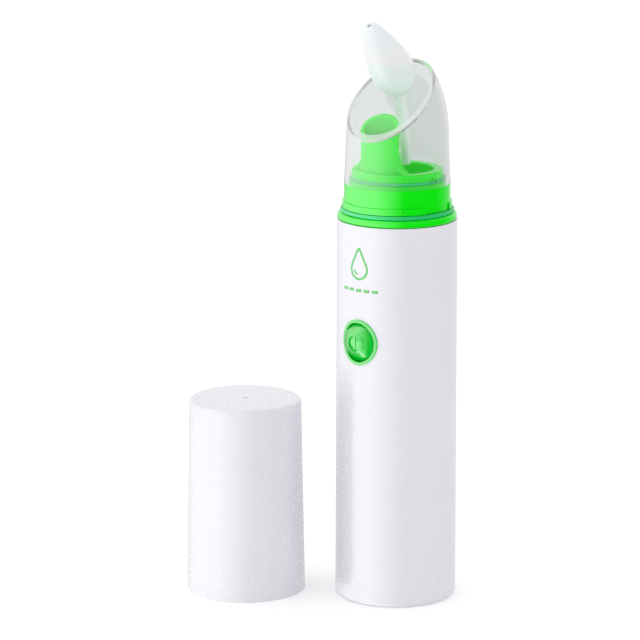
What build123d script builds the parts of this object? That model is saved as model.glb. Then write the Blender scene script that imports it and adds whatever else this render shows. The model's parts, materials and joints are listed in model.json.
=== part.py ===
from build123d import *
import math
import os

# Battery-powered nasal aspirator for babies, in millimetres.
# Origin: centre of the handle's underside. +Z runs up the handle, -Y is the front,
# where the power button is and towards which the soft nozzle leans.

# ---- handle shell ----
BASE_R = 22.6               # outside radius at the underside
TOP_R = 22.2                # outside radius at the top edge
SHELL_H = 143.5             # height of the white shell
SHELL_WALL = 1.8
SHELL_FLOOR = 2.2
SHELL_EDGE_R = 2.0          # rounding of the bottom edge

# ---- battery door, at the back ----
DOOR_HALF_W = 15.0
DOOR_Z0 = 8.0
DOOR_Z1 = 66.0
DOOR_GAP = 0.15
RIDGE_COUNT = 3
RIDGE_PITCH = 2.4

# ---- green top ring, neck and deck ----
FLANGE_R = 22.0
FLANGE_H = 2.7
NECK_R = 18.4
NECK_WALL = 1.5
DECK_T = 1.6
SPIGOT_LEN = 5.0            # part of the top ring that plugs into the shell
FLANGE_Z = SHELL_H + FLANGE_H
DECK_TOP_Z = 152.6
SEAL_R = 21.0
SEAL_H = 1.6
SEAL_GAP = 0.03

# ---- green cup base with its air tower ----
CUP_GAP = 0.15
COLLAR_R = 19.6
LUG_R = 20.25               # raised bands that hold the protective cap
LUG_TOP_Z = 150.3
LUG_GAP_DEG = 33.4          # plain gap between the bands, on each side
CUP_FLOOR_Z = DECK_TOP_Z + 0.3
CUP_FLOOR_T = 1.9
CUP_SEAT_Z = 157.0          # face on which the clear dome stands
BOSS_R = 17.6
BOSS_TOP_R = 16.7
BOSS_TOP_Z = 162.3
WELL_R = 13.2
CUP_RING_MAJOR_R = 17.3
CUP_RING_MINOR_R = 0.6
CUP_RING_Z = 158.9
PORT_Y = -10.0
TOWER_HALF_X = 8.05
TOWER_HALF_Y = 4.9
TOWER_WALL = 1.3
TOWER_FRONT_Z = 173.3
TOWER_BACK_Z = 182.3
GUSSET_REACH_X = 14.8
GUSSET_TOP_Z = 169.5
GUSSET_FRONT_Y = -11.4
GUSSET_BACK_Y = -7.6

# ---- clear dome ----
DOME_R = 19.6
DOME_TAPER = 0.045          # radius lost for each millimetre of height
DOME_STRAIGHT = 21.8        # height of the nearly straight part
DOME_FULL_H = 51.9          # height at which the bullet shape would close
DOME_POWER = 1.86
DOME_WALL = 1.5
DOME_Z = CUP_SEAT_Z + 0.05
FACET_Z = 191.9             # height of the slanted face on the axis
FACET_SLOPE = 0.906         # rise of the slanted face towards the back
FACET_T = 1.6

# ---- soft nozzle and drip stem ----
NOZZLE_TILT = 37.0          # lean towards the front, in degrees
NOZZLE_Y = 1.16             # where the nozzle's axis meets the slanted face
NOZZLE_GAP = 0.12
NOZZLE_HOLE_R = 1.2
NOZZLE_TIP_S = 29.6         # from the slanted face to the tip, along the axis
SPIGOT_R = 3.2
SPIGOT_BORE_R = 1.5
STEM_TOP_R = 2.6
STEM_END_R = 1.75
STEM_BORE_R = 1.1
STEM_END = (0, 5.3, 163.1)

# ---- power button ----
BUTTON_Z = 100.3
BUTTON_HALF_W = 6.5
BUTTON_HALF_H = 7.1
BUTTON_GAP = 0.25
BUTTON_DOME_R = 11.5
BUTTON_CROWN_Y = -24.5      # foremost point of the domed face
BUTTON_BACK_Y = -18.5       # front of the hidden flange
BEZEL_T = 0.7               # wall of the sleeve that lines the shell's hole
BEZEL_LIP = 0.45            # part of the bezel that lies on the shell
BEZEL_PROUD = 0.55
SYMBOL_PROUD = 0.35

# ---- control board and switch, behind the button ----
BOARD_FRONT_Y = -15.2
BOARD_BACK_Y = -14.0
SWITCH_FRONT_Y = -17.2

# ---- protective cap, standing beside the handle ----
CAP_X = -47.5
CAP_Y = -31.1
CAP_H = 73.4
CAP_BASE_R = 22.3
CAP_TOP_R = 21.0
CAP_WALL = 1.55
CAP_EDGE_R = 1.5

# ---- batteries ----
CELL_R = 7.25
CELL_BODY = 49.5
CELL_NUB = 1.0
CELL_X = 7.45
CELL_Y = 6.0
CELL_Z = 8.2
CELL_TOP_Z = CELL_Z + CELL_BODY + CELL_NUB
CONTACT_T = 0.4
TRAY_X = 16.2
TRAY_T = 1.2
TRAY_Y0 = -2.6
TRAY_Y1 = 10.0
TRAY_Z0 = 4.0
TRAY_Z1 = 63.0

# ---- motor ----
MOTOR_R = 12.2
MOTOR_Z0 = 68.0
MOTOR_Z1 = 97.0
CAN_T = 1.0
COMMUTATOR_R = 2.6
CORE_R = 8.8
CORE_Z0 = 77.0
CORE_Z1 = 91.0
SHAFT_R = 1.0
BUSH_CLEARANCE = 0.02
PLATE_T = 2.0

# ---- diaphragm pump ----
PUMP_R = 13.4
PUMP_BORE_R = 11.8
PUMP_Z0 = MOTOR_Z1 + PLATE_T
PUMP_CASE_Z1 = 111.0
DIAPHRAGM_Z1 = 112.2
VALVE_PLATE_Z1 = 114.7
HEAD_Z1 = 120.0
EAR_R = 2.4
EAR_PCD_R = 14.2
EAR_ANGLES = (90, 210, 330)
CUP_PCD_R = 7.3
CUP_ANGLES = (30, 150, 270)
SCREW_R = 1.0
WOBBLE_TILT = 4.0
WOBBLE_Z = 106.2
PIN_R = 0.75
PIN_CLEARANCE = 0.05


def rod(radius, z0, z1, x=0.0, y=0.0):
    """Upright cylinder from z0 to z1."""
    return Pos(x, y, z0) * Cylinder(radius, z1 - z0, align=(Align.CENTER, Align.CENTER, Align.MIN))


def pipe(outer, inner, z0, z1, x=0.0, y=0.0):
    """Upright tube from z0 to z1."""
    return rod(outer, z0, z1, x, y) - rod(inner, z0, z1, x, y)


def rod_y(radius, y0, y1, x=0.0, z=0.0):
    """Cylinder along Y from y0 to y1."""
    lying = Cylinder(radius, y1 - y0, align=(Align.CENTER, Align.CENTER, Align.MIN))
    return Pos(x, y0, z) * Rot(-90, 0, 0) * lying


def block(x0, x1, y0, y1, z0, z1):
    """Box between two corners."""
    return Pos((x0 + x1) / 2, (y0 + y1) / 2, (z0 + z1) / 2) * Box(x1 - x0, y1 - y0, z1 - z0)


def turned(points):
    """Solid turned about the Z axis from an outline of (radius, height) points."""
    outline = Plane.XZ * make_face(Polyline(*points, close=True))
    return revolve(outline, axis=Axis.Z)


def around(radius, degrees):
    """Point on a circle about the Z axis."""
    return radius * math.cos(math.radians(degrees)), radius * math.sin(math.radians(degrees))


def torus_at(major, minor, z, x=0.0, y=0.0):
    """Level ring of round section."""
    return Pos(x, y, z) * Torus(major, minor)


def write(name, *solids):
    """Write one node, as one solid or a group of separate solids."""
    shape = solids[0] if len(solids) == 1 else Compound(children=list(solids))
    shape.label = name
    export_step(shape, f"parts/{name}.step")


# ---------------------------------------------------------------- handle shell

def shell_radius(z, offset=0.0):
    """Outside radius of the shell at height z, plus an offset."""
    return BASE_R + (TOP_R - BASE_R) * z / SHELL_H + offset


def shell_cone(offset, z0=0.0, z1=SHELL_H):
    """Solid cone that follows the shell's outside at an offset."""
    return turned([(0, z0), (shell_radius(z0, offset), z0), (shell_radius(z1, offset), z1), (0, z1)])


def body_shell():
    outer = shell_cone(0.0)
    outer = fillet(outer.edges().group_by(Axis.Z)[0], SHELL_EDGE_R)
    shell = outer - shell_cone(-SHELL_WALL, SHELL_FLOOR)
    shell -= block(-DOOR_HALF_W, DOOR_HALF_W, CELL_Y, BASE_R + 1, DOOR_Z0, DOOR_Z1)
    shell -= button_oval(BUTTON_GAP + BEZEL_T + 0.1, 0)
    slot_half_w, slot_h, slot_pitch = 6.0, 1.3, 3.2
    for row in range(3):
        z = 116.0 + row * slot_pitch
        shell -= block(-slot_half_w, slot_half_w, 0, BASE_R + 1, z, z + slot_h)
    return shell


def battery_door():
    wall = shell_cone(0.0) - shell_cone(-SHELL_WALL)
    gap = DOOR_GAP
    half = DOOR_HALF_W - gap
    door = wall & block(-half, half, CELL_Y, BASE_R + 1, DOOR_Z0 + gap, DOOR_Z1 - gap)
    raised = shell_cone(0.35) - shell_cone(-0.3)
    for row in range(RIDGE_COUNT):
        z = DOOR_Z1 - 6.0 - row * RIDGE_PITCH
        door += raised & block(-5, 5, CELL_Y, BASE_R + 1, z, z + 0.9)
    rail_x, rail_t = 9.0, 1.2
    inside = shell_cone(-SHELL_WALL + 0.2)
    for side in (-1, 1):
        x0, x1 = sorted((side * rail_x, side * (rail_x + rail_t)))
        door += inside & block(x0, x1, 16.4, BASE_R, DOOR_Z0 + 4, DOOR_Z1 - 4)
    return door


# ------------------------------------------------------- top ring, seal and port

def top_ring():
    outer_r = shell_radius(SHELL_H) - SHELL_WALL - 0.05
    inner_r = NECK_R - NECK_WALL
    flange = pipe(FLANGE_R, inner_r, SHELL_H, FLANGE_Z)
    flange = fillet(flange.edges().filter_by(GeomType.CIRCLE).sort_by(SortBy.RADIUS)[-2:], 1.1)
    spigot = pipe(outer_r, outer_r - 1.7, SHELL_H - SPIGOT_LEN, SHELL_H)
    neck = pipe(NECK_R, inner_r, FLANGE_Z, DECK_TOP_Z)
    deck = rod(NECK_R, DECK_TOP_Z - DECK_T, DECK_TOP_Z)
    ring = flange + spigot + neck + deck
    return ring - rod(3.45, DECK_TOP_Z - 3, DECK_TOP_Z + 1, y=PORT_Y)


def collar_seal():
    ring = pipe(SEAL_R, NECK_R + SEAL_GAP, FLANGE_Z + SEAL_GAP, FLANGE_Z + SEAL_H)
    return fillet(ring.edges().filter_by(GeomType.CIRCLE).sort_by(SortBy.RADIUS)[-2:], 0.5)


def suction_port():
    deck_under = DECK_TOP_Z - DECK_T
    top_z = 158.6
    port = rod(2.0, 142.0, deck_under - 1.5, y=PORT_Y)
    port += rod(4.5, deck_under - 1.5, deck_under, y=PORT_Y)
    port += rod(3.4, deck_under, top_z, y=PORT_Y)
    port -= rod(1.3, 141.0, top_z + 1, y=PORT_Y)
    return port - torus_at(3.3, 0.55, 156.5, y=PORT_Y)


def port_seal():
    return torus_at(3.3, 0.5, 156.5, y=PORT_Y)


# --------------------------------------------------------------------- cup base

def tower_oval(half_x, half_y, z0, z1):
    oval = Plane.XY * Pos(0, PORT_Y, 0) * Ellipse(half_x, half_y)
    return Pos(0, 0, z0) * extrude(oval, z1 - z0)


def tower_cut():
    """Everything above the tower's slanted mouth."""
    y0, y1 = PORT_Y - TOWER_HALF_Y, PORT_Y + TOWER_HALF_Y
    slope = (TOWER_BACK_Z - TOWER_FRONT_Z) / (y1 - y0)
    low, high, roof = y0 - 4, y1 + 4, TOWER_BACK_Z + 20
    corners = [
        (low, TOWER_FRONT_Z - 4 * slope),
        (high, TOWER_BACK_Z + 4 * slope),
        (high, roof),
        (low, roof),
    ]
    side = Plane.YZ * make_face(Polyline(*corners, close=True))
    return extrude(side, 2 * TOWER_HALF_X, both=True)


def gusset(side):
    """Concave web from the tower's flank down to the rim of the well."""
    foot_z, root_x = BOSS_TOP_Z - 1.5, TOWER_HALF_X - 2.0
    reach, top = GUSSET_REACH_X, GUSSET_TOP_Z
    flank_x = TOWER_HALF_X - 0.4
    sag = (flank_x + 1.1, BOSS_TOP_Z + 2.4)
    curve = ThreePointArc((side * reach, BOSS_TOP_Z), (side * sag[0], sag[1]), (side * flank_x, top))
    rest = Polyline(
        (side * flank_x, top), (side * root_x, top), (side * root_x, foot_z),
        (side * reach, foot_z), (side * reach, BOSS_TOP_Z),
    )
    web = Plane.XZ * make_face([curve, rest])
    depth = GUSSET_BACK_Y - GUSSET_FRONT_Y
    web = Pos(0, GUSSET_BACK_Y, 0) * extrude(web, depth)
    return web & rod(BOSS_TOP_R - 0.2, foot_z, top)


def lug_gap(side):
    """Sector that clears the raised bands on one side."""
    reach = LUG_R + 3
    half_w = reach * math.tan(math.radians(LUG_GAP_DEG / 2))
    x0, x1 = sorted((0.0, side * reach))
    sector = block(x0, x1, -half_w, half_w, CUP_SEAT_Z - 12, LUG_TOP_Z + 0.01)
    return sector - rod(COLLAR_R, CUP_SEAT_Z - 13, LUG_TOP_Z + 1)


def cup_base():
    skirt_r = NECK_R + CUP_GAP
    skirt_z = FLANGE_Z + SEAL_H + CUP_GAP
    floor_z = CUP_FLOOR_Z + CUP_FLOOR_T
    body = turned([
        (0, CUP_FLOOR_Z), (skirt_r, CUP_FLOOR_Z), (skirt_r, skirt_z), (LUG_R, skirt_z),
        (LUG_R, LUG_TOP_Z), (COLLAR_R, LUG_TOP_Z), (COLLAR_R, CUP_SEAT_Z), (BOSS_R + 0.2, CUP_SEAT_Z),
        (BOSS_R, CUP_SEAT_Z + 0.6), (BOSS_TOP_R + 0.25, BOSS_TOP_Z - 2.4), (BOSS_TOP_R, BOSS_TOP_Z),
        (WELL_R, BOSS_TOP_Z), (WELL_R, floor_z), (0, floor_z),
    ])
    rim = body.edges().filter_by(GeomType.CIRCLE).group_by(Axis.Z)[-1]
    body = fillet(rim, 0.5)
    for side in (-1, 1):
        body -= lug_gap(side)
        body += gusset(side)
    body += tower_oval(TOWER_HALF_X, TOWER_HALF_Y, floor_z - 0.5, TOWER_BACK_Z + 6)
    body -= tower_cut()
    hollow_z = 160.0
    inner_x, inner_y = TOWER_HALF_X - TOWER_WALL, TOWER_HALF_Y - TOWER_WALL
    body -= tower_oval(inner_x, inner_y, hollow_z, TOWER_BACK_Z + 8)
    body -= rod(3.9, CUP_FLOOR_Z - 1, hollow_z + 1, y=PORT_Y)
    body -= torus_at(CUP_RING_MAJOR_R, CUP_RING_MINOR_R + 0.05, CUP_RING_Z)
    mark_x, mark_y = around(COLLAR_R + 0.9, -44)
    return body - Pos(mark_x, mark_y, 148.9) * Sphere(0.75)


def cup_seal():
    return torus_at(CUP_RING_MAJOR_R, CUP_RING_MINOR_R, CUP_RING_Z)


# ------------------------------------------------------------------- clear dome

def dome_radius(h):
    """Outside radius of the bullet shape at height h above its foot."""
    bend = max(0.0, (h - DOME_STRAIGHT) / (DOME_FULL_H - DOME_STRAIGHT))
    return (DOME_R - DOME_TAPER * h) * (1 - bend ** DOME_POWER) ** (1 / DOME_POWER)


def bullet(inset, foot_z):
    """Bullet-shaped solid, closed flat above the slanted face."""
    first, last, steps = DOME_STRAIGHT - 4.0, DOME_FULL_H - 3.4, 9
    levels = [first + (last - first) * i / steps for i in range(steps + 1)]
    side = Spline(*[(dome_radius(h) - inset, DOME_Z + h) for h in levels])
    foot_r = dome_radius(foot_z - DOME_Z) - inset
    start, end = side @ 0, side @ 1
    rest = Polyline((end.X, end.Y), (0, end.Y), (0, foot_z), (foot_r, foot_z), (start.X, start.Y))
    return revolve(Plane.XZ * make_face([side, rest]), axis=Axis.Z)


def above_facet(drop):
    """Everything above the slanted face, lowered by a drop."""
    reach, roof = 40.0, 260.0
    corners = [
        (-reach, FACET_Z - FACET_SLOPE * reach - drop), (reach, FACET_Z + FACET_SLOPE * reach - drop),
        (reach, roof), (-reach, roof),
    ]
    side = Plane.YZ * make_face(Polyline(*corners, close=True))
    return extrude(side, reach, both=True)


def facet_point():
    """Where the nozzle's axis meets the slanted face."""
    return Vector(0, NOZZLE_Y, FACET_Z + FACET_SLOPE * NOZZLE_Y)


def nozzle_axis():
    tilt = math.radians(NOZZLE_TILT)
    return Vector(0, -math.sin(tilt), math.cos(tilt))


def along(point, direction):
    """Plane at a point whose normal is the given direction."""
    return Plane(origin=point, x_dir=(1, 0, 0), z_dir=direction)


def stem_axis():
    return (Vector(*STEM_END) - facet_point()).normalized()


def dome():
    slope_len = math.sqrt(1 + FACET_SLOPE ** 2)
    outer = bullet(0.0, DOME_Z) - above_facet(0.0)
    inner = bullet(DOME_WALL, DOME_Z) - above_facet(FACET_T * slope_len)
    rim = outer.faces().sort_by(Axis.Z)[-1].edges()
    outer = fillet(rim, 0.7)
    shell = outer - inner
    hole = extrude(along(facet_point() - stem_axis() * 5, stem_axis()) * Circle(STEM_TOP_R + 0.15), 12)
    shell -= hole
    peg_z, ring_out, ring_in = 159.8, 1.25, 0.6
    for centre in (0, 180):
        for step in (-7.7, 7.7):
            boss = Rot(0, 0, centre + step) * Pos(dome_radius(2.0) - 0.3, 0, peg_z) * Rot(0, 90, 0)
            shell += boss * Cylinder(ring_out, 1.0)
            shell -= boss * Pos(0, 0, 0.5) * Cylinder(ring_in, 0.7)
    return shell


def drip_stem():
    top = facet_point()
    length = (Vector(*STEM_END) - top).length
    tube = along(top, stem_axis()) * Cone(
        STEM_TOP_R, STEM_END_R, length, align=(Align.CENTER, Align.CENTER, Align.MIN)
    )
    stem = tube + Pos(*top) * Sphere(STEM_TOP_R)
    lift, reach = 0.35, 11.5
    base = top + nozzle_axis() * lift
    stem += extrude(along(base, nozzle_axis()) * Circle(SPIGOT_R), reach - lift)
    stem -= extrude(along(top, nozzle_axis()) * Circle(SPIGOT_BORE_R), reach + 1)
    stem -= Pos(*top) * Sphere(SPIGOT_BORE_R)
    return stem - extrude(along(top, stem_axis()) * Circle(STEM_BORE_R), length + 1)


# ------------------------------------------------------------------ soft nozzle

def nozzle():
    """Egg-shaped silicone nozzle, turned about its own leaning axis."""
    tip_z = NOZZLE_TIP_S
    flank = [(3.6, -3.0), (6.2, 0.4), (8.1, 5.6), (8.0, 10.4), (6.75, 17.0), (5.35, 22.0), (4.0, 25.8)]
    outline = Spline(*flank)
    start, end = outline @ 0, outline @ 1
    tip = ThreePointArc((end.X, end.Y), (2.95, tip_z - 1.3), (NOZZLE_HOLE_R, tip_z))
    rest = Polyline((NOZZLE_HOLE_R, tip_z), (0, tip_z), (0, start.Y), (start.X, start.Y))
    egg = revolve(Plane.XZ * make_face([outline, tip, rest]), axis=Axis.Z)
    socket_z, chamber_z = 11.9, 22.0
    bore = rod(SPIGOT_R + 0.1, -5, socket_z) + rod(2.3, socket_z, chamber_z)
    bore += rod(NOZZLE_HOLE_R, chamber_z, tip_z + 1)
    placed = along(facet_point(), nozzle_axis()) * (egg - bore)
    slope_len = math.sqrt(1 + FACET_SLOPE ** 2)
    return placed & above_facet(-NOZZLE_GAP * slope_len)


# ----------------------------------------------------------------- power button

def button_oval(margin, y1):
    """Oval bar from in front of the shell back to y1, larger than the button by a margin."""
    oval = Plane.XZ * Pos(0, BUTTON_Z, 0) * Ellipse(BUTTON_HALF_W + margin, BUTTON_HALF_H + margin)
    return Pos(0, y1, 0) * extrude(oval, y1 + BASE_R + 3)


def button_ball(offset):
    """Ball that carries the button's domed face, at an offset."""
    return Pos(0, BUTTON_CROWN_Y + BUTTON_DOME_R, BUTTON_Z) * Sphere(BUTTON_DOME_R + offset)


def button_bezel():
    sleeve_end = BUTTON_BACK_Y - 0.15
    flange = button_oval(BUTTON_GAP + BEZEL_T + BEZEL_LIP, 0) & (shell_cone(BEZEL_PROUD) - shell_cone(0.0))
    sleeve = button_oval(BUTTON_GAP + BEZEL_T, sleeve_end) & shell_cone(0.2)
    return flange + sleeve - button_oval(BUTTON_GAP, 0)


def power_symbol():
    """Upright bar inside a circle, the usual on and off sign."""
    ring_out, ring_in, bar_half_w, bar_half_len = 3.7, 2.9, 0.45, 2.2
    front, back = BUTTON_CROWN_Y - 1, BUTTON_BACK_Y
    ring = rod_y(ring_out, front, back, z=BUTTON_Z) - rod_y(ring_in, front, back, z=BUTTON_Z)
    low, high = BUTTON_Z - bar_half_len, BUTTON_Z + bar_half_len
    return ring + block(-bar_half_w, bar_half_w, front, back, low, high)


def power_button():
    flange_t, flange_margin, flange_bore_r = 0.8, 1.7, 5.0
    stem_r, stem_len = 1.4, 0.5
    back = BUTTON_BACK_Y + flange_t
    pad = button_oval(0, BUTTON_BACK_Y) & button_ball(0)
    skin = button_ball(SYMBOL_PROUD) - button_ball(-0.3)
    pad += power_symbol() & skin
    flange = button_oval(flange_margin, back) - button_oval(flange_margin + 1, BUTTON_BACK_Y)
    flange -= rod_y(flange_bore_r, BUTTON_BACK_Y, back, z=BUTTON_Z)
    return pad + flange + rod_y(stem_r, BUTTON_BACK_Y, BUTTON_BACK_Y + stem_len, z=BUTTON_Z)


def control_board():
    board = block(-9.5, 9.5, BOARD_FRONT_Y, BOARD_BACK_Y, 86.0, 116.0)
    board = fillet(board.edges().filter_by(Axis.Y), 1.5)
    for side in (-1, 1):
        board -= rod_y(1.1, BOARD_FRONT_Y - 1, BOARD_BACK_Y + 1, x=side * 7.5, z=92.0)
    return board


def switch_body():
    body = block(-3, 3, SWITCH_FRONT_Y, BOARD_FRONT_Y, BUTTON_Z - 3, BUTTON_Z + 3)
    return body - rod_y(1.55, SWITCH_FRONT_Y - 1, BOARD_FRONT_Y - 0.15, z=BUTTON_Z)


def switch_plunger():
    return rod_y(1.5, -17.95, -16.0, z=BUTTON_Z)


def board_components():
    capacitor = rod(2.0, 109.0, 115.0, x=5.5, y=BOARD_FRONT_Y - 2.0)
    chip = block(-7.5, -3.5, BOARD_FRONT_Y - 1.2, BOARD_FRONT_Y, 106.5, 111.5)
    diode = block(-1.5, 1.5, BOARD_FRONT_Y - 1.1, BOARD_FRONT_Y, 87.5, 89.5)
    return capacitor, chip, diode


def board_screws():
    screws = []
    for side in (-1, 1):
        x, z = side * 7.5, 92.0
        head = rod_y(1.8, BOARD_FRONT_Y - 1.2, BOARD_FRONT_Y, x=x, z=z)
        slot = block(x - 1.2, x + 1.2, BOARD_FRONT_Y - 2, BOARD_FRONT_Y - 0.8, z - 0.25, z + 0.25)
        screws.append(head + rod_y(SCREW_R, BOARD_FRONT_Y, -11.0, x=x, z=z) - slot)
    return screws


# --------------------------------------------------------------------- chassis

def chassis():
    frame = rod(20.1, TRAY_Z1, TRAY_Z1 + PLATE_T)
    frame += rod(20.0, MOTOR_Z1, PUMP_Z0)
    crown_z = SHELL_H - SPIGOT_LEN - 1.6
    frame += pipe(20.1, 15.0, crown_z, SHELL_H - SPIGOT_LEN - 0.1)
    for side in (-1, 1):
        x0, x1 = sorted((side * 15.0, side * 17.0))
        frame += block(x0, x1, -3, 3, TRAY_Z1 + 1, crown_z + 1)
    for z in (72.0, 90.0):
        frame += pipe(13.7, MOTOR_R + 0.05, z, z + 4)
        for side in (-1, 1):
            x0, x1 = sorted((side * 12.9, side * 15.5))
            frame += block(x0, x1, -3, 3, z, z + 4)
    for side in (-1, 1):
        x0, x1 = sorted((side * 5.9, side * 9.1))
        frame += block(x0, x1, BOARD_BACK_Y, -10.5, 90.0, 94.0) - rod(MOTOR_R + 0.05, 89, 95)
        frame -= rod_y(SCREW_R, BOARD_BACK_Y - 1, -10.9, x=side * 7.5, z=92.0)
    frame -= block(-12, 12, -21, -13.0, MOTOR_Z1 - 1, PUMP_Z0 + 1)
    frame -= rod(6.2, MOTOR_Z1 - 1, PUMP_Z0 + 1)
    wire_hole_r = 2.2
    frame -= rod(wire_hole_r, TRAY_Z1 - 1, TRAY_Z1 + 4, y=-16.0)
    return frame


# ------------------------------------------------------------------- batteries

def battery_tray():
    tray = block(-TRAY_X, TRAY_X, TRAY_Y0, TRAY_Y1, TRAY_Z0, TRAY_Z1)
    tray -= block(
        -TRAY_X + TRAY_T, TRAY_X - TRAY_T, TRAY_Y0 + TRAY_T, TRAY_Y1 + 1,
        TRAY_Z0 + TRAY_T, TRAY_Z1 - TRAY_T,
    )
    for x in (-9.0, 9.0):
        tray += block(x - 1, x + 1, TRAY_Y0, TRAY_Y1, SHELL_FLOOR, TRAY_Z0)
    return tray


def battery_cell(x, z0, nub_up):
    body_z = z0 if nub_up else z0 + CELL_NUB
    cell = rod(CELL_R, body_z, body_z + CELL_BODY, x, CELL_Y)
    cell = fillet(cell.edges().filter_by(GeomType.CIRCLE), 0.6)
    nub_z = body_z + CELL_BODY if nub_up else z0
    return cell + rod(2.75, nub_z, nub_z + CELL_NUB, x, CELL_Y)


def contact_plate(x0, x1, z0):
    return block(x0, x1, CELL_Y - 5, CELL_Y + 4, z0, z0 + CONTACT_T)


def contact_bridge():
    """Strip that joins the two cells at the lower end, with a pad for one cell's nub."""
    low = TRAY_Z0 + TRAY_T
    return contact_plate(-13, 13, low) + rod(2.5, low + CONTACT_T, CELL_Z, CELL_X, CELL_Y)


def positive_contact():
    high = TRAY_Z1 - TRAY_T - CONTACT_T
    return contact_plate(-13, -2, high) + rod(2.5, CELL_TOP_Z, high, -CELL_X, CELL_Y)


def negative_contact():
    return contact_plate(2, 13, TRAY_Z1 - TRAY_T - CONTACT_T)


def contact_spring(x, z0, z1):
    """Flat coil spring pressed between a cell and its contact."""
    wire_r, coil_r = 0.35, 3.6
    height = z1 - z0 - 2 * wire_r - 0.04
    coil = Helix(pitch=height / 2, height=height, radius=coil_r)
    section = Plane(origin=coil @ 0, z_dir=coil % 0) * Circle(wire_r)
    return Pos(x, CELL_Y, z0 + wire_r + 0.02) * sweep(section, path=coil)


# ----------------------------------------------------------------------- motor

def motor_can():
    can = rod(MOTOR_R, MOTOR_Z0, MOTOR_Z1)
    can = fillet(can.edges().filter_by(GeomType.CIRCLE).group_by(Axis.Z)[-1], 0.8)
    can -= rod(MOTOR_R - CAN_T, MOTOR_Z0 - 1, MOTOR_Z1 - 1.2)
    can += rod(5.0, MOTOR_Z1 - 0.5, MOTOR_Z1 + 1.6)
    return can - rod(3.0, MOTOR_Z1 - 2, MOTOR_Z1 + 2)


def motor_endbell():
    bell = rod(MOTOR_R, 66.0, MOTOR_Z0) + pipe(MOTOR_R - CAN_T - 0.05, 9.0, MOTOR_Z0 - 0.5, 70.0)
    bell += rod(3.8, 66.0, 69.4)
    return bell - rod(2.5, 65.0, 70.0)


def motor_bushes():
    bore = SHAFT_R + BUSH_CLEARANCE
    front = pipe(3.0, bore, MOTOR_Z1 - 1.2, MOTOR_Z1 + 1.6)
    rear = pipe(2.5, bore, 66.2, 69.2)
    return front, rear


def motor_magnets():
    ring = pipe(MOTOR_R - CAN_T - 0.05, 9.3, 74.5, 92.5)
    left = ring & block(-13, -3.5, -13, 13, 70, 96)
    right = ring & block(3.5, 13, -13, 13, 70, 96)
    return left, right


def motor_terminals():
    return [block(x - 1.2, x + 1.2, 5.0, 5.4, 65.2, 66.0) + block(x - 1.2, x + 1.2, 5.0, 7.0, 65.2, 65.5)
            for x in (-5.5, 5.5)]


def motor_brushes():
    inner = COMMUTATOR_R + 0.06
    return [block(*sorted((side * inner, side * 7.0)), -1.4, 1.4, 70.9, 72.9) for side in (-1, 1)]


def motor_shaft():
    return rod(SHAFT_R, 65.6, 102.0)


def commutator():
    return pipe(COMMUTATOR_R, SHAFT_R, 70.4, 73.4)


def rotor_core():
    core = pipe(CORE_R, SHAFT_R, CORE_Z0, CORE_Z1)
    for pole in range(3):
        slot_x, slot_y = around(6.2, 60 + 120 * pole)
        mouth_x, mouth_y = around(8.2, 60 + 120 * pole)
        core -= rod(2.2, CORE_Z0 - 1, CORE_Z1 + 1, slot_x, slot_y)
        core -= rod(1.0, CORE_Z0 - 1, CORE_Z1 + 1, mouth_x, mouth_y)
    return core


def rotor_windings():
    upper = pipe(7.6, 2.6, CORE_Z1, CORE_Z1 + 2.6)
    lower = pipe(7.6, 2.6, CORE_Z0 - 2.6, CORE_Z0)
    bundles = [rod(1.9, CORE_Z0, CORE_Z1, *around(6.2, 60 + 120 * pole)) for pole in range(3)]
    coil = upper + lower
    for bundle in bundles:
        coil += bundle
    return coil


# ------------------------------------------------------------------------ pump

def wobble_axis():
    tilt = math.radians(WOBBLE_TILT)
    return Vector(math.sin(tilt), 0, math.cos(tilt))


def drive_cam():
    cam = rod(5.5, 99.6, 103.6) - rod(SHAFT_R, 99, 102.0)
    return cam - drive_pin()


def drive_pin():
    start = Vector(0, 0, WOBBLE_Z) - wobble_axis() * 3.9
    return extrude(along(start, wobble_axis()) * Circle(PIN_R), 5.6)


def wobble_plate():
    hub_t, arm_t, arm_w, arm_len = 2.6, 1.5, 3.4, 9.2
    plate = Cylinder(3.0, hub_t)
    for angle in CUP_ANGLES:
        arm = Pos(arm_len / 2, 0, 0) * Box(arm_len, arm_w, arm_t)
        plate += Rot(0, 0, angle) * arm
    plate -= Cylinder(PIN_R + PIN_CLEARANCE, hub_t + 1)
    return along(Vector(0, 0, WOBBLE_Z), wobble_axis()) * plate


def pump_outline(z0, z1):
    """Round pump section with its three screw ears."""
    section = rod(PUMP_R, z0, z1)
    for angle in EAR_ANGLES:
        section += rod(EAR_R, z0, z1, *around(EAR_PCD_R, angle))
    return section


def screw_holes(radius, z0, z1):
    holes = [rod(radius, z0, z1, *around(EAR_PCD_R, angle)) for angle in EAR_ANGLES]
    return holes[0] + holes[1] + holes[2]


def pump_case():
    case = pump_outline(PUMP_Z0, PUMP_CASE_Z1) - rod(PUMP_BORE_R, PUMP_Z0 + 1.4, PUMP_CASE_Z1 + 1)
    case -= rod(6.2, PUMP_Z0 - 1, PUMP_Z0 + 2)
    return case - screw_holes(SCREW_R, 103.0, PUMP_CASE_Z1 + 1)


def diaphragm():
    sheet = pump_outline(PUMP_CASE_Z1, DIAPHRAGM_Z1) - screw_holes(1.2, PUMP_CASE_Z1 - 1, DIAPHRAGM_Z1 + 1)
    for angle in CUP_ANGLES:
        x, y = around(CUP_PCD_R, angle)
        sheet += rod(4.3, 108.8, PUMP_CASE_Z1, x, y) + rod(1.3, 107.85, 108.8, x, y)
        sheet -= rod(3.5, 109.6, DIAPHRAGM_Z1 + 1, x, y)
    return sheet


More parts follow.
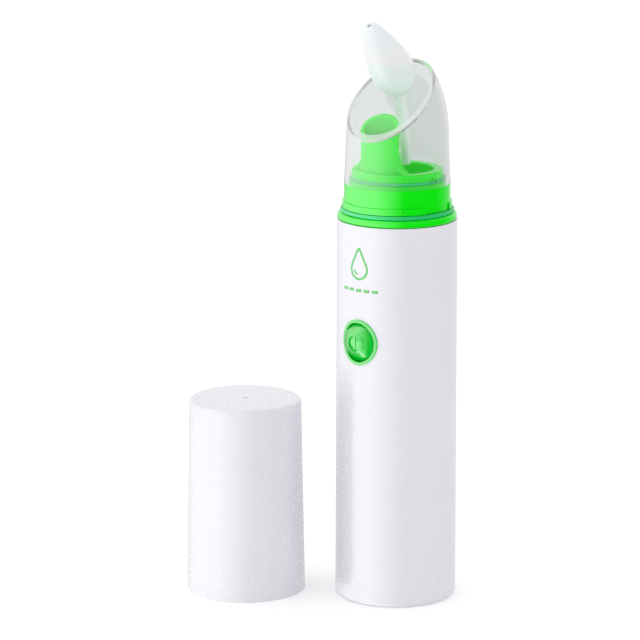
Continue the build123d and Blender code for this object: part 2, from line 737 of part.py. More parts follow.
def valve_plate():
    plate = pump_outline(DIAPHRAGM_Z1, VALVE_PLATE_Z1)
    plate -= screw_holes(1.2, DIAPHRAGM_Z1 - 1, VALVE_PLATE_Z1 + 1)
    for angle in CUP_ANGLES:
        for radius in (9.4, 5.0):
            plate -= rod(0.6, DIAPHRAGM_Z1 - 1, VALVE_PLATE_Z1 + 1, *around(radius, angle))
    return plate - rod(0.9, DIAPHRAGM_Z1 - 1, VALVE_PLATE_Z1 + 1)


def inlet_flaps():
    return [rod(1.2, DIAPHRAGM_Z1 - 0.4, DIAPHRAGM_Z1, *around(9.3, angle)) for angle in CUP_ANGLES]


def outlet_flap():
    return rod(6.2, VALVE_PLATE_Z1, VALVE_PLATE_Z1 + 0.6) + rod(0.9, DIAPHRAGM_Z1 + 0.3, VALVE_PLATE_Z1)


def pump_head():
    head = pump_outline(VALVE_PLATE_Z1, HEAD_Z1) - screw_holes(1.2, VALVE_PLATE_Z1 - 1, HEAD_Z1 + 1)
    gallery_z = HEAD_Z1 - 2.0
    head -= rod(6.8, VALVE_PLATE_Z1 - 1, gallery_z)
    head -= pipe(11.5, 8.0, VALVE_PLATE_Z1 - 1, gallery_z)
    head += rod(2.0, HEAD_Z1, 127.0, y=PORT_Y) + rod(1.8, HEAD_Z1, 124.0)
    return head - rod(1.1, gallery_z - 1, 128.0, y=PORT_Y) - rod(1.0, gallery_z - 1, 125.0)


def pump_screws():
    screws = []
    for angle in EAR_ANGLES:
        x, y = around(EAR_PCD_R, angle)
        head = rod(1.9, HEAD_Z1, HEAD_Z1 + 1.4, x, y)
        slot = block(x - 1.3, x + 1.3, y - 0.25, y + 0.25, HEAD_Z1 + 0.8, HEAD_Z1 + 2)
        screws.append(head + rod(SCREW_R, 103.0, HEAD_Z1, x, y) - slot)
    return screws


def suction_tube():
    return pipe(3.2, 2.0, HEAD_Z1, 147.5, y=PORT_Y)


def exhaust_filter():
    return pipe(4.4, 1.8, HEAD_Z1, 124.0) + rod(4.4, 124.0, 127.0)


# ------------------------------------------------------------------------- cap

def protective_cap():
    top_in = CAP_TOP_R - CAP_WALL
    outer = turned([(0, 0), (CAP_BASE_R, 0), (CAP_TOP_R, CAP_H), (0, CAP_H)])
    outer = fillet(outer.edges().filter_by(GeomType.CIRCLE).group_by(Axis.Z)[-1], CAP_EDGE_R)
    inner = turned([(0, -1), (CAP_BASE_R - CAP_WALL, -1), (top_in, CAP_H - 1.7), (0, CAP_H - 1.7)])
    cap = outer - inner
    cap = chamfer(cap.edges().filter_by(GeomType.CIRCLE).group_by(Axis.Z)[0], 0.25)
    cap -= rod(1.0, CAP_H - 0.25, CAP_H + 1)
    return Pos(CAP_X, CAP_Y, 0) * cap


def main():
    os.makedirs("parts", exist_ok=True)
    write("body_shell", body_shell())
    write("battery_door", battery_door())
    write("top_ring", top_ring())
    write("collar_seal", collar_seal())
    write("suction_port", suction_port())
    write("port_seal", port_seal())
    write("button_bezel", button_bezel())
    write("power_button", power_button())
    write("control_board", control_board())
    write("switch_body", switch_body())
    write("switch_plunger", switch_plunger())
    write("board_components", *board_components())
    write("board_screws", *board_screws())
    write("chassis", chassis())
    write("battery_tray", battery_tray())
    write("battery_cell_left", battery_cell(-CELL_X, CELL_Z, True))
    write("battery_cell_right", battery_cell(CELL_X, CELL_Z, False))
    write("contact_bridge", contact_bridge())
    write("positive_contact", positive_contact())
    write("negative_contact", negative_contact())
    write("lower_contact_spring", contact_spring(-CELL_X, TRAY_Z0 + TRAY_T + CONTACT_T, CELL_Z))
    write("upper_contact_spring", contact_spring(CELL_X, CELL_TOP_Z, TRAY_Z1 - TRAY_T - CONTACT_T))
    write("motor_can", motor_can())
    write("motor_endbell", motor_endbell())
    write("motor_bushes", *motor_bushes())
    write("motor_magnets", *motor_magnets())
    write("motor_terminals", *motor_terminals())
    write("motor_brushes", *motor_brushes())
    write("motor_shaft", motor_shaft())
    write("commutator", commutator())
    write("rotor_core", rotor_core())
    write("rotor_windings", rotor_windings())
    write("drive_cam", drive_cam())
    write("drive_pin", drive_pin())
    write("wobble_plate", wobble_plate())
    write("pump_case", pump_case())
    write("diaphragm", diaphragm())
    write("valve_plate", valve_plate())
    write("inlet_flaps", *inlet_flaps())
    write("outlet_flap", outlet_flap())
    write("pump_head", pump_head())
    write("pump_screws", *pump_screws())
    write("suction_tube", suction_tube())
    write("exhaust_filter", exhaust_filter())
    write("cup_base", cup_base())
    write("cup_seal", cup_seal())
    write("dome", dome())
    write("drip_stem", drip_stem())
    write("nozzle", nozzle())
    write("protective_cap", protective_cap())


main()
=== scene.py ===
import json
import math

import bpy
from mathutils import Matrix, Vector

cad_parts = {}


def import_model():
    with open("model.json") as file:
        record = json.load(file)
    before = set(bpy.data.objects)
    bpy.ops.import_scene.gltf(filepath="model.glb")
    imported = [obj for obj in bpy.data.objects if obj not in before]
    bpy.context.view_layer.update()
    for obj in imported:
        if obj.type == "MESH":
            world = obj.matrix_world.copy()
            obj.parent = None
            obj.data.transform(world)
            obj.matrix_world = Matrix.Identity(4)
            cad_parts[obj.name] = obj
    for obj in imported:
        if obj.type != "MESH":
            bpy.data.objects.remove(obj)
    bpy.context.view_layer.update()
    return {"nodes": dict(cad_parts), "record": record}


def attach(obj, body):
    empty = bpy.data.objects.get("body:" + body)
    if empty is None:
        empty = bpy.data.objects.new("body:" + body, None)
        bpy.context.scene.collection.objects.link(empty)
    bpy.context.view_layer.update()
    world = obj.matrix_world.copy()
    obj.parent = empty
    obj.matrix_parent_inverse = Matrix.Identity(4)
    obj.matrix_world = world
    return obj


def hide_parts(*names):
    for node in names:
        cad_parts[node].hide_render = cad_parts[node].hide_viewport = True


# Nasal aspirator: finishes, soft nozzle, printed mark, stage, light and camera around the
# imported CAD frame. Everything is in metres, in the row frame: +Z up, -Y is the front.

MM = 0.001

# ---- camera: on the front right, slightly above ----
VIEW_AZIMUTH = 40.0
VIEW_PITCH = 12.944
VIEW_DISTANCE = 1.254
VIEW_HEIGHT = 0.393
VIEW_LATERAL = 0.0284       # the axis of the handle stands this far right of the view's centre
VIEW_LENS = 195.2
SENSOR_WIDTH = 36.0

# ---- soft nozzle, as in the CAD ----
NOZZLE_TILT = 37.0
NOZZLE_FOOT = (0.0, 1.16 * MM, 192.951 * MM)
NOZZLE_TONE_LOW = 190.0 * MM    # heights between which the silicone's tone changes
NOZZLE_TONE_HIGH = 214.0 * MM
SEAT_GAP = 0.12 * MM        # left between the nozzle's foot and the slanted face
SEAT_FADE = 6.0 * MM        # height over which the foot's shear fades out
FACET_SLOPE = 0.906

# ---- clear dome, as in the CAD ----
DOME_R = 19.6 * MM
DOME_TAPER = 0.045
DOME_STRAIGHT = 21.8 * MM
DOME_FULL_H = 51.9 * MM
DOME_POWER = 1.86
DOME_FOOT = 157.05 * MM
FACET_Z = 191.9 * MM
RIM_LOW = 175.0 * MM        # heights between which the slanted face's edge runs
RIM_HIGH = 207.0 * MM
RIM_STEPS = 8
RIM_UNIT = 20.0 * MM        # radius that stands for 1 in the ramp of the outline
RIM_BAND = 1.9 * MM
RIM_DEPTH = 0.8 * MM
# share of painted highlight on the rim of the slanted face: milky white standing for its bright edge
RIM_PAINTED_SHINE = 0.6

# ---- power button ----
BUTTON_Z = 100.3 * MM
BUTTON_SWELL = 34.0         # extra swelling that the shading gives the domed face

# ---- printed mark ----
MARK_Z = 0.1288
MARK_PROUD = 0.06 * MM
DROP_Z = MARK_Z - 1.2 * MM      # centre of the drop's round part
DROP_ROUND_R = 3.6 * MM
DROP_TIP_H = 5.6 * MM
DROP_STEPS = 40
DROP_LINE = 0.75 * MM
SHINE_R = 2.0 * MM
SHINE_STEPS = 8
SHINE_LINE = 0.6 * MM
DASH_Z = MARK_Z - 9.0 * MM
DASH_LENGTH = 2.2 * MM
DASH_PITCH = 3.4 * MM
DASH_LINE = 1.0 * MM
SHELL_BASE_R = 22.6 * MM
SHELL_TOP_R = 22.2 * MM
SHELL_H = 143.5 * MM

# ---- stage and light ----
FLOOR_RADIUS = 6.0
FLOOR_SEGMENTS = 96
FLOOR_GLOW = 0.15
TENT_LEVEL = 1.0            # white surroundings, seen by the camera and by diffuse light
SEEN_THROUGH = 0.72         # pale grey that only the clear parts show
BACKDROP_HALF = 2.5
DRUM_RADIUS = 3.0
DRUM_HALF_H = 3.0
DRUM_SEGMENTS = 128
DRUM_LOW_Z = -0.2           # heights between which the two rows of levels are blended
DRUM_HIGH_Z = 0.4
MIRROR_PEAK = 5.2
GLOSSY_BOUNCES = 12
# What reflections see, as (share of a turn, level). The turn starts behind the object and runs past
# its left (0.25), the viewer (0.5) and its right (0.75).
MIRROR_LOW = (
    (0.0, 0.15), (0.03, 0.13), (0.083, 0.19), (0.139, 0.38), (0.194, 0.66), (0.25, 0.9), (0.35, 1.0),
    (0.44, 0.5), (0.53, 0.0), (0.75, 0.0), (0.85, 0.1), (0.92, 0.16), (1.0, 0.15),
)
MIRROR_HIGH = (
    (0.0, 0.22), (0.1, 0.3), (0.25, 0.8), (0.4, 0.5), (0.55, 0.04), (0.8, 0.04), (0.9, 0.22), (1.0, 0.22),
)


# ------------------------------------------------------------------ node helpers

def new_material(name):
    """Returns a new node material, its node tree and its Principled shader."""
    mat = bpy.data.materials.new(name)
    mat.use_nodes = True
    tree = mat.node_tree
    return mat, tree, tree.nodes["Principled BSDF"]


def add(tree, kind, **inputs):
    """Adds a node; keyword names match its input sockets, with _ for a blank."""
    node = tree.nodes.new(kind)
    for key, value in inputs.items():
        node.inputs[key.replace("_", " ")].default_value = value
    return node


def noise_at(tree, scale, detail=2.0, rough=0.5):
    """Noise in the object's own coordinates, so that it needs no UVs."""
    place = tree.nodes.new("ShaderNodeTexCoord")
    noise = add(tree, "ShaderNodeTexNoise", Scale=scale, Detail=detail, Roughness=rough)
    tree.links.new(place.outputs["Object"], noise.inputs["Vector"])
    return noise


def ramp(tree, source, stops):
    """Colour ramp over a 0 to 1 value; stops are (place, rgb)."""
    node = tree.nodes.new("ShaderNodeValToRGB")
    node.color_ramp.elements[0].position = stops[0][0]
    node.color_ramp.elements[0].color = (*stops[0][1], 1)
    node.color_ramp.elements[1].position = stops[-1][0]
    node.color_ramp.elements[1].color = (*stops[-1][1], 1)
    for place, rgb in stops[1:-1]:
        node.color_ramp.elements.new(place).color = (*rgb, 1)
    tree.links.new(source, node.inputs["Fac"])
    return node


def span(tree, source, low, high):
    """Maps a 0 to 1 value onto low to high."""
    node = add(tree, "ShaderNodeMapRange", To_Min=low, To_Max=high)
    tree.links.new(source, node.inputs["Value"])
    return node


def share_of(tree, source, low, high):
    """Maps a value between low and high onto 0 to 1."""
    node = add(tree, "ShaderNodeMapRange", From_Min=low, From_Max=high)
    tree.links.new(source, node.inputs["Value"])
    return node.outputs["Result"]


def object_axes(tree):
    """The object's own X, Y and Z."""
    place = tree.nodes.new("ShaderNodeTexCoord")
    split = tree.nodes.new("ShaderNodeSeparateXYZ")
    tree.links.new(place.outputs["Object"], split.inputs["Vector"])
    return tuple(split.outputs[axis] for axis in "XYZ")


def maths(tree, operation, first, second=0.0):
    """One step of arithmetic; each value is a socket or a number."""
    node = tree.nodes.new("ShaderNodeMath")
    node.operation = operation
    for slot, value in enumerate((first, second)):
        if isinstance(value, (int, float)):
            node.inputs[slot].default_value = value
        else:
            tree.links.new(value, node.inputs[slot])
    return node.outputs["Value"]


def mix_shaders(tree, share, first, second):
    """First shader where share is 0, second where it is 1."""
    node = tree.nodes.new("ShaderNodeMixShader")
    tree.links.new(share, node.inputs["Fac"])
    tree.links.new(first, node.inputs[1])
    tree.links.new(second, node.inputs[2])
    return node.outputs["Shader"]


def bump(tree, shader, source, strength, distance):
    """Lets a height shade the surface; it moves no geometry."""
    node = add(tree, "ShaderNodeBump", Strength=strength, Distance=distance)
    tree.links.new(source, node.inputs["Height"])
    tree.links.new(node.outputs["Normal"], shader.inputs["Normal"])


def plastic(name, dark, light, rough=(0.2, 0.3), grain=900.0, bump_strength=0.05, specular=0.5):
    """Moulded plastic: faint colour drift, uneven gloss and a fine orange-peel surface."""
    mat, tree, shader = new_material(name)
    drift = noise_at(tree, 35.0, 3.0)
    colour = ramp(tree, drift.outputs["Fac"], [(0.3, dark), (0.7, light)])
    tree.links.new(colour.outputs["Color"], shader.inputs["Base Color"])
    fine = noise_at(tree, grain, 2.0)
    gloss = span(tree, fine.outputs["Fac"], *rough)
    tree.links.new(gloss.outputs["Result"], shader.inputs["Roughness"])
    bump(tree, shader, fine.outputs["Fac"], bump_strength, 0.00005)
    shader.inputs["Specular IOR Level"].default_value = specular
    return mat


def metal(name, dark, light, rough=(0.25, 0.4), grain=300.0, stretch=(1.0, 1.0, 12.0)):
    """Metal with fine drawn scratches and uneven polish."""
    mat, tree, shader = new_material(name)
    place = tree.nodes.new("ShaderNodeTexCoord")
    lengthen = add(tree, "ShaderNodeMapping", Scale=stretch)
    tree.links.new(place.outputs["Object"], lengthen.inputs["Vector"])
    scratch = add(tree, "ShaderNodeTexNoise", Scale=grain, Detail=4.0)
    tree.links.new(lengthen.outputs["Vector"], scratch.inputs["Vector"])
    colour = ramp(tree, scratch.outputs["Fac"], [(0.35, dark), (0.65, light)])
    tree.links.new(colour.outputs["Color"], shader.inputs["Base Color"])
    gloss = span(tree, scratch.outputs["Fac"], *rough)
    tree.links.new(gloss.outputs["Result"], shader.inputs["Roughness"])
    bump(tree, shader, scratch.outputs["Fac"], 0.08, 0.00003)
    shader.inputs["Metallic"].default_value = 1.0
    return mat


def clear_base(name, dark, light, transmission, rough, level):
    """Parts of a clear plastic; its caller lets a share of diffuse and shadow rays straight through."""
    mat, tree, shader = new_material(name)
    drift = noise_at(tree, 60.0)
    colour = ramp(tree, drift.outputs["Fac"], [(0.3, dark), (0.7, light)])
    tree.links.new(colour.outputs["Color"], shader.inputs["Base Color"])
    fine = noise_at(tree, 400.0)
    gloss = span(tree, fine.outputs["Fac"], *rough)
    tree.links.new(gloss.outputs["Result"], shader.inputs["Roughness"])
    bump(tree, shader, drift.outputs["Fac"], 0.02, 0.0001)
    shader.inputs["Transmission Weight"].default_value = transmission
    shader.inputs["IOR"].default_value = 1.47
    path = tree.nodes.new("ShaderNodeLightPath")
    either = maths(tree, "MAXIMUM", path.outputs["Is Diffuse Ray"], path.outputs["Is Shadow Ray"])
    share = maths(tree, "MULTIPLY", either, level)
    through = add(tree, "ShaderNodeBsdfTransparent")
    return mat, tree, shader, share, through


def rim_shine_mask(tree):
    """1 on the outer band of the dome's slanted face, where the painted highlight goes, 0 elsewhere."""
    x, y, z = object_axes(tree)
    tilt = maths(tree, "MULTIPLY", y, -FACET_SLOPE)
    level = maths(tree, "SUBTRACT", maths(tree, "ADD", z, tilt), FACET_Z)
    on_face = maths(tree, "LESS_THAN", maths(tree, "ABSOLUTE", level), RIM_DEPTH)
    squares = maths(tree, "ADD", maths(tree, "MULTIPLY", x, x), maths(tree, "MULTIPLY", y, y))
    radius = maths(tree, "SQRT", squares)
    stops = []
    for k in range(RIM_STEPS + 1):
        height = RIM_LOW + (RIM_HIGH - RIM_LOW) * k / RIM_STEPS
        edge = dome_radius(height - DOME_FOOT) / RIM_UNIT
        stops.append((k / RIM_STEPS, (edge, edge, edge)))
    outline = ramp(tree, share_of(tree, z, RIM_LOW, RIM_HIGH), stops)
    edge = maths(tree, "MULTIPLY", outline.outputs["Color"], RIM_UNIT)
    inset = maths(tree, "SUBTRACT", edge, radius)
    return maths(tree, "MULTIPLY", on_face, maths(tree, "LESS_THAN", inset, RIM_BAND))


def dome_radius(h):
    """Outside radius of the clear dome at height h above its foot."""
    bend = max(0.0, (h - DOME_STRAIGHT) / (DOME_FULL_H - DOME_STRAIGHT))
    return (DOME_R - DOME_TAPER * h) * (1 - bend ** DOME_POWER) ** (1 / DOME_POWER)


def clear_plastic():
    """Clear moulded plastic of the dome and spigot; the rim of the slanted face carries a painted
    highlight, a milky white band standing for its bright edge.
    """
    mat, tree, shader, share, through = clear_base(
        "clear_plastic", (0.93, 0.95, 0.95), (0.97, 0.98, 0.98), 1.0, (0.0, 0.03), 1.0)
    # painted highlight: a milky white diffuse band on the rim of the slanted face stands for its bright
    # edge
    rim_white = add(tree, "ShaderNodeBsdfDiffuse")
    rim_white.inputs["Color"].default_value = (0.80, 0.81, 0.81, 1)
    shader.inputs["Specular IOR Level"].default_value = 0.3
    rim_shine = maths(tree, "MULTIPLY", rim_shine_mask(tree), RIM_PAINTED_SHINE)
    body = mix_shaders(tree, rim_shine, shader.outputs["BSDF"], rim_white.outputs["BSDF"])
    surface = mix_shaders(tree, share, body, through.outputs["BSDF"])
    tree.links.new(surface, tree.nodes["Material Output"].inputs["Surface"])
    return mat


def stem_painted_light():
    """Clear plastic of the drip stem, with painted light: its pale, milky greenish-white stands for the
    brightness of light refracted through the thick clear rod.
    """
    mat, tree, shader, share, through = clear_base(
        "stem_painted_light", (0.80, 0.84, 0.83), (0.88, 0.91, 0.90), 0.45, (0.08, 0.16), 0.7)
    surface = mix_shaders(tree, share, shader.outputs["BSDF"], through.outputs["BSDF"])
    tree.links.new(surface, tree.nodes["Material Output"].inputs["Surface"])
    return mat


def button_plastic():
    """Deep green button; a bump makes its domed face shade as if it were steeper than it is."""
    mat = plastic("button_dome", (0.0, 0.56, 0.02), (0.0, 0.61, 0.03), (0.12, 0.2), specular=0.7)
    tree = mat.node_tree
    shader = tree.nodes["Principled BSDF"]
    x, _, z = object_axes(tree)
    up = maths(tree, "SUBTRACT", z, BUTTON_Z)
    swell = maths(tree, "ADD", maths(tree, "MULTIPLY", x, x), maths(tree, "MULTIPLY", up, up))
    bump(tree, shader, maths(tree, "MULTIPLY", swell, -BUTTON_SWELL), 1.0, 1.0)
    return mat


def silicone():
    """Frosted translucent silicone, whiter at the tip and faintly green over the foot."""
    mat, tree, shader = new_material("silicone")
    stops = [(0.0, (0.74, 0.85, 0.82)), (0.42, (0.78, 0.86, 0.84)), (0.55, (0.87, 0.87, 0.86)),
             (1.0, (0.86, 0.91, 0.94))]
    tone = ramp(tree, share_of(tree, object_axes(tree)[2], NOZZLE_TONE_LOW, NOZZLE_TONE_HIGH), stops)
    drift = noise_at(tree, 90.0, 3.0)
    haze = ramp(tree, drift.outputs["Fac"], [(0.3, (0.97, 0.97, 0.97)), (0.7, (1.0, 1.0, 1.0))])
    colour = tree.nodes.new("ShaderNodeMix")
    colour.data_type = "RGBA"
    colour.blend_type = "MULTIPLY"
    colour.inputs["Factor"].default_value = 1.0
    tree.links.new(tone.outputs["Color"], colour.inputs["A"])
    tree.links.new(haze.outputs["Color"], colour.inputs["B"])
    tree.links.new(colour.outputs["Result"], shader.inputs["Base Color"])
    fine = noise_at(tree, 1500.0)
    gloss = span(tree, fine.outputs["Fac"], 0.32, 0.45)
    tree.links.new(gloss.outputs["Result"], shader.inputs["Roughness"])
    bump(tree, shader, fine.outputs["Fac"], 0.06, 0.00004)
    shader.inputs["Transmission Weight"].default_value = 0.1
    shader.inputs["IOR"].default_value = 1.41
    shader.inputs["Subsurface Weight"].default_value = 0.3
    shader.inputs["Subsurface Radius"].default_value = (0.006, 0.006, 0.006)
    shader.inputs["Subsurface Scale"].default_value = 0.5
    return mat


def make_materials():
    """One finish for each of the record's material slots, and two for single nodes."""
    return {
        "white_shell": plastic("white_shell", (0.727, 0.72, 0.77), (0.747, 0.74, 0.79), (0.24, 0.3),
                               bump_strength=0.015),
        "green_gloss": plastic("green_gloss", (0.0, 0.76, 0.0), (0.0, 0.82, 0.002), (0.1, 0.18),
                               specular=0.5),
        # the seal's dark teal green is partly its own colour and partly painted shade of the groove
        # between the collar and the flange
        "teal_seal": plastic("teal_seal", (0.0, 0.5, 0.12), (0.0, 0.58, 0.15), (0.3, 0.4)),
        "button_green": plastic("button_green", (0.0, 0.50, 0.02), (0.0, 0.55, 0.03), (0.12, 0.2),
                                specular=0.7),
        "button_dome": button_plastic(),
        "clear_plastic": clear_plastic(),
        "stem_painted_light": stem_painted_light(),
        "silicone": silicone(),
        "grey_plastic": plastic("grey_plastic", (0.30, 0.31, 0.33), (0.36, 0.37, 0.39), (0.45, 0.6),
                                500.0, 0.2),
        "black_plastic": plastic("black_plastic", (0.03, 0.03, 0.035), (0.05, 0.05, 0.055), (0.4, 0.55),
                                 500.0, 0.2),
        "white_inner": plastic("white_inner", (0.72, 0.72, 0.68), (0.80, 0.80, 0.76), (0.35, 0.5),
                               500.0, 0.15),
        "black_rubber": plastic("black_rubber", (0.02, 0.02, 0.02), (0.04, 0.04, 0.04), (0.6, 0.8),
                                700.0, 0.3),
        "foam": plastic("foam", (0.10, 0.10, 0.11), (0.24, 0.24, 0.26), (0.85, 1.0), 1400.0, 0.9),
        "board_green": plastic("board_green", (0.02, 0.16, 0.06), (0.03, 0.24, 0.09), (0.25, 0.4),
                               1200.0, 0.2),
        "steel": metal("steel", (0.50, 0.50, 0.52), (0.68, 0.68, 0.70)),
        "spring_plate": metal("spring_plate", (0.60, 0.58, 0.54), (0.78, 0.76, 0.72), (0.15, 0.3)),
        "cell_jacket": metal("cell_jacket", (0.10, 0.12, 0.16), (0.16, 0.18, 0.24), (0.3, 0.4), 120.0),
        "bronze": metal("bronze", (0.52, 0.36, 0.14), (0.70, 0.52, 0.25), (0.35, 0.5)),
        "ferrite": plastic("ferrite", (0.05, 0.05, 0.055), (0.10, 0.10, 0.11), (0.6, 0.8), 900.0, 0.5),
        "copper": metal("copper", (0.60, 0.24, 0.10), (0.78, 0.40, 0.20), (0.25, 0.4), 500.0),
        "lamination": metal("lamination", (0.26, 0.26, 0.28), (0.46, 0.46, 0.48), (0.35, 0.5), 40.0,
                            (1.0, 1.0, 60.0)),
    }


def dress_cad(frame, finishes):
    """Gives every CAD node its finish, by the record's material slots, except for two nodes."""
    slot_of = {part["node"]: part["material_slot"] for part in frame["record"]["subparts"]}
    for name, obj in frame["nodes"].items():
        obj.data.materials.clear()
        obj.data.materials.append(finishes[slot_of[name]])
    # the drip stem gets the clear finish with painted light, the power button gets the domed button
    # finish
    for name, finish in (("drip_stem", "stem_painted_light"), ("power_button", "button_dome")):
        frame["nodes"][name].data.materials.clear()
        frame["nodes"][name].data.materials.append(finishes[finish])


# ------------------------------------------------------------------- mesh pieces

def mesh_object(name, verts, faces, material, smooth=True):
    """Links a new mesh with one material into the scene."""
    mesh = bpy.data.meshes.new(name)
    mesh.from_pydata([tuple(v) for v in verts], [], faces)
    mesh.validate()
    if smooth:
        mesh.polygons.foreach_set("use_smooth", [True] * len(mesh.polygons))
    obj = bpy.data.objects.new(name, mesh)
    bpy.context.scene.collection.objects.link(obj)
    mesh.materials.append(material)
    return obj


def curve_points(points, steps):
    """Smooth Catmull-Rom run through (radius, height) points."""
    ends = [points[0]] + points + [points[-1]]
    out = []
    for i in range(1, len(ends) - 2):
        p0, p1, p2, p3 = (Vector(p) for p in ends[i - 1:i + 3])
        for s in range(steps):
            t = s / steps
            out.append(0.5 * (2 * p1 + (p2 - p0) * t + (2 * p0 - 5 * p1 + 4 * p2 - p3) * t ** 2
                              + (3 * p1 - p0 - 3 * p2 + p3) * t ** 3))
    out.append(Vector(points[-1]))
    return out


def lathe(name, profile, material, place, segments=96):
    """Closed body turned from a closed (radius, height) outline, then placed by a matrix."""
    verts, faces = [], []
    count = len(profile)
    for k in range(segments):
        turn = 2 * math.pi * k / segments
        for r, z in profile:
            verts.append(place @ Vector((r * math.cos(turn), r * math.sin(turn), z)))
    for k in range(segments):
        here, there = k * count, (k + 1) % segments * count
        for i in range(count):
            j = (i + 1) % count
            faces.append((here + i, there + i, there + j, here + j))
    return mesh_object(name, verts, faces, material)


def nozzle_matrix():
    """From the nozzle's own axis, with Z towards its tip, to the row frame."""
    tilt = Matrix.Rotation(math.radians(NOZZLE_TILT), 4, "X")
    return Matrix.Translation(NOZZLE_FOOT) @ tilt


def soft_nozzle(finish):
    """Egg-shaped silicone nozzle with its socket, inner chamber and rounded tip hole."""
    outside = [(6.25, 0.5), (7.35, 2.6), (8.1, 5.6), (8.0, 10.4), (6.75, 17.0), (5.35, 22.0), (4.0, 25.8),
               (2.95, 28.3), (2.0, 29.3), (1.1, 29.6)]
    inside = [(0.75, 29.4), (0.7, 28.8), (1.2, 22.6), (2.3, 21.6), (2.3, 12.2), (3.3, 11.8), (3.3, 0.9),
              (3.7, 0.5)]
    profile = [p * MM for p in curve_points(outside, 5)] + [Vector(p) * MM for p in inside]
    obj = lathe("soft_nozzle", profile, finish, nozzle_matrix())
    seat_on_facet(obj)
    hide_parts("nozzle")
    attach(obj, "nozzle")


def seat_on_facet(obj):
    """Shears the foot of the nozzle so that it stands evenly on the slanted face."""
    foot = Vector(NOZZLE_FOOT)
    normal = Vector((0, -FACET_SLOPE, 1)).normalized()
    axis = nozzle_matrix().to_3x3() @ Vector((0, 0, 1))
    for vert in obj.data.vertices:
        level = (vert.co - foot).dot(axis)
        height = (vert.co - foot).dot(normal) / normal.dot(axis)
        weight = max(0.0, 1.0 - level / SEAT_FADE)
        vert.co += axis * (weight * (level - height + SEAT_GAP))


def shell_point(x, z, proud):
    """Point on the front of the handle's shell at sideways arc length x and height z."""
    radius = SHELL_BASE_R + (SHELL_TOP_R - SHELL_BASE_R) * z / SHELL_H
    turn = x / radius
    return Vector(((radius + proud) * math.sin(turn), -(radius + proud) * math.cos(turn), z))


def print_loop(path, width, name, finish, closed=True):
    """Thin printed line of ink that follows the shell."""
    verts, faces = [], []
    count = len(path)
    for i, (x, z) in enumerate(path):
        before = path[(i - 1) % count] if closed or i else path[i]
        after = path[(i + 1) % count] if closed or i < count - 1 else path[i]
        along = Vector((after[0] - before[0], after[1] - before[1])).normalized()
        side = Vector((-along.y, along.x)) * width / 2
        for proud in (-MARK_PROUD, MARK_PROUD):
            verts.append(shell_point(x + side.x, z + side.y, proud))
            verts.append(shell_point(x - side.x, z - side.y, proud))
    last = count if closed else count - 1
    for i in range(last):
        a, b = i * 4, (i + 1) % count * 4
        faces += [(a + 2, a + 3, b + 3, b + 2), (a + 1, a, b, b + 1), (a, a + 2, b + 2, b),
                  (a + 3, a + 1, b + 1, b + 3)]
    if not closed:
        faces += [(0, 1, 3, 2), (last * 4 + 2, last * 4 + 3, last * 4 + 1, last * 4)]
    return mesh_object(name, verts, faces, finish)


def printed_mark(finish):
    """Generic mark: the outline of a drop with a highlight, over a row of five short dashes."""
    drop = []
    for i in range(DROP_STEPS):
        turn = 2 * math.pi * i / DROP_STEPS
        rise = max(0.0, math.cos(turn)) ** 3
        x = DROP_ROUND_R * math.sin(turn) * (1 - 0.55 * rise)
        z = DROP_ROUND_R * math.cos(turn) + DROP_TIP_H * rise * 0.75
        drop.append((x, DROP_Z + z))
    pieces = [print_loop(drop, DROP_LINE, "mark_drop", finish)]
    shine = []
    for i in range(SHINE_STEPS + 1):
        turn = math.radians(200 + 60 * i / SHINE_STEPS)
        shine.append((SHINE_R * math.sin(turn), DROP_Z + SHINE_R * math.cos(turn)))
    pieces.append(print_loop(shine, SHINE_LINE, "mark_shine", finish, closed=False))
    for i in range(-2, 3):
        line = [(i * DASH_PITCH + DASH_LENGTH * (k / 4 - 0.5), DASH_Z) for k in range(5)]
        pieces.append(print_loop(line, DASH_LINE, f"mark_dash_{i + 3}", finish, closed=False))
    for piece in pieces:
        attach(piece, "handle")


# ------------------------------------------------------- stage, light and camera

def glow(name, strength):
    """Returns a material that only shines, its node tree and its emission node."""
    mat = bpy.data.materials.new(name)
    mat.use_nodes = True
    tree = mat.node_tree
    tree.nodes.remove(tree.nodes["Principled BSDF"])
    shine = add(tree, "ShaderNodeEmission", Strength=strength)
    tree.links.new(shine.outputs["Emission"], tree.nodes["Material Output"].inputs["Surface"])
    return mat, tree, shine


def circle(radius, count):
    """Points on a level circle about the origin."""
    turns = [2 * math.pi * k / count for k in range(count)]
    return [(radius * math.cos(turn), radius * math.sin(turn)) for turn in turns]


def make_floor():
    """Plain pale floor under the object."""
    mat, tree, shader = new_material("stage_white")
    drift = noise_at(tree, 2.0)
    colour = ramp(tree, drift.outputs["Fac"], [(0.3, (0.93, 0.93, 0.93)), (0.7, (0.95, 0.95, 0.95))])
    tree.links.new(colour.outputs["Color"], shader.inputs["Base Color"])
    shader.inputs["Roughness"].default_value = 0.9
    shader.inputs["Specular IOR Level"].default_value = 0.0
    shader.inputs["Emission Color"].default_value = (1, 1, 1, 1)
    shader.inputs["Emission Strength"].default_value = FLOOR_GLOW
    rim = [(x, y, 0) for x, y in circle(FLOOR_RADIUS, FLOOR_SEGMENTS)]
    floor = mesh_object("stage_floor", rim, [tuple(range(FLOOR_SEGMENTS))], mat, smooth=False)
    floor.visible_glossy = False
    floor.visible_transmission = False


def make_world():
    """Even white surroundings; what the glossy parts mirror is the drum below."""
    world = bpy.data.worlds.new("studio")
    bpy.context.scene.world = world
    world.use_nodes = True
    world.node_tree.nodes["Background"].inputs["Color"].default_value = (1, 1, 1, 1)
    world.node_tree.nodes["Background"].inputs["Strength"].default_value = TENT_LEVEL
    world.cycles_visibility.glossy = False


def turn_levels(tree, share, stops):
    """Grey level that runs with the turn round the object, from (share of a turn, level) stops."""
    return ramp(tree, share, [(at, (level, level, level)) for at, level in stops]).outputs["Color"]


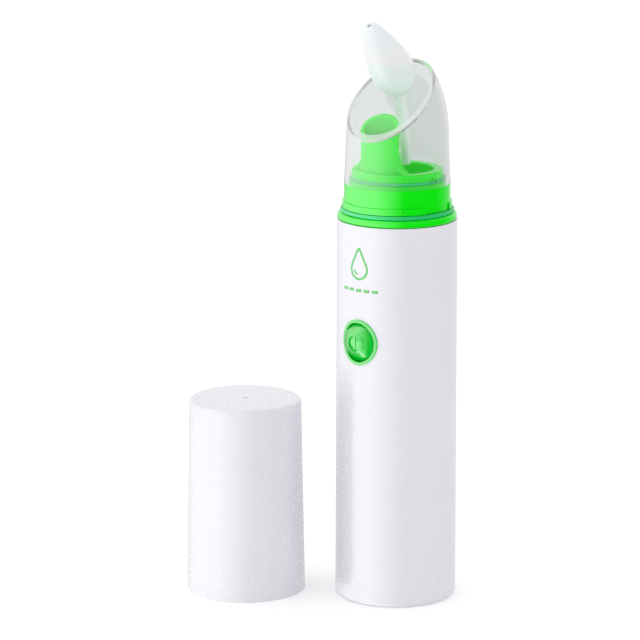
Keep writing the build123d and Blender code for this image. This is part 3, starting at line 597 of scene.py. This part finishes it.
def make_mirror_tent():
    """Big drum that only reflections see: bright on the left, dim behind, dark on the right."""
    mat, tree, shine = glow("mirror_tent", MIRROR_PEAK)
    x, y, z = object_axes(tree)
    share = share_of(tree, maths(tree, "ARCTAN2", y, x), -math.pi, math.pi)
    height = share_of(tree, z, DRUM_LOW_Z, DRUM_HIGH_Z)
    blend = tree.nodes.new("ShaderNodeMix")
    blend.data_type = "RGBA"
    tree.links.new(height, blend.inputs["Factor"])
    tree.links.new(turn_levels(tree, share, MIRROR_LOW), blend.inputs["A"])
    tree.links.new(turn_levels(tree, share, MIRROR_HIGH), blend.inputs["B"])
    tree.links.new(blend.outputs["Result"], shine.inputs["Color"])
    count = DRUM_SEGMENTS
    ring = circle(DRUM_RADIUS, count)
    verts = [(x, y, -DRUM_HALF_H) for x, y in ring] + [(x, y, DRUM_HALF_H) for x, y in ring]
    faces = [(k, (k + 1) % count, (k + 1) % count + count, k + count) for k in range(count)]
    faces += [tuple(range(count)), tuple(range(count, 2 * count))]
    tent = mesh_object("stage_mirror_tent", verts, faces, mat, smooth=False)
    tent.rotation_euler = (0, 0, math.radians(VIEW_AZIMUTH - 90))
    for ray in ("camera", "diffuse", "transmission", "volume_scatter", "shadow"):
        setattr(tent, f"visible_{ray}", False)


def make_backdrop():
    """Big even pale grey box that is only seen through the clear parts."""
    mat, tree, shine = glow("backdrop", SEEN_THROUGH)
    drift = noise_at(tree, 0.5)
    colour = ramp(tree, drift.outputs["Fac"], [(0.3, (0.99, 1.0, 1.0)), (0.7, (1.0, 1.0, 1.0))])
    tree.links.new(colour.outputs["Color"], shine.inputs["Color"])
    half = BACKDROP_HALF
    corners = ((-half, -half), (half, -half), (half, half), (-half, half))
    verts = [(x, y, z) for z in (-half, half) for x, y in corners]
    faces = [(0, 1, 2, 3), (4, 5, 6, 7), (0, 1, 5, 4), (1, 2, 6, 5), (2, 3, 7, 6), (3, 0, 4, 7)]
    box = mesh_object("stage_backdrop", verts, faces, mat, smooth=False)
    for ray in ("camera", "diffuse", "glossy", "volume_scatter", "shadow"):
        setattr(box, f"visible_{ray}", False)


def make_camera():
    """Camera that matches the photograph's view."""
    turn = math.radians(VIEW_AZIMUTH)
    right = Vector((math.cos(turn), math.sin(turn), 0))
    away = Vector((-math.sin(turn), math.cos(turn), 0))
    camera = bpy.data.cameras.new("camera")
    camera.lens = VIEW_LENS
    camera.sensor_width = SENSOR_WIDTH
    camera.clip_start = 0.05
    camera.clip_end = 50.0
    obj = bpy.data.objects.new("camera", camera)
    bpy.context.scene.collection.objects.link(obj)
    obj.location = -right * VIEW_LATERAL - away * VIEW_DISTANCE + Vector((0, 0, VIEW_HEIGHT))
    pitch = math.radians(VIEW_PITCH)
    look = away * math.cos(pitch) - Vector((0, 0, math.sin(pitch)))
    obj.rotation_euler = look.to_track_quat("-Z", "Y").to_euler()
    bpy.context.scene.camera = obj


def main():
    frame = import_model()
    make_camera()
    make_world()
    make_floor()
    make_mirror_tent()
    make_backdrop()
    bpy.context.scene.view_settings.view_transform = "Standard"
    bpy.context.scene.cycles.glossy_bounces = GLOSSY_BOUNCES
    finishes = make_materials()
    dress_cad(frame, finishes)
    soft_nozzle(finishes["silicone"])
    printed_mark(finishes["button_green"])


main()
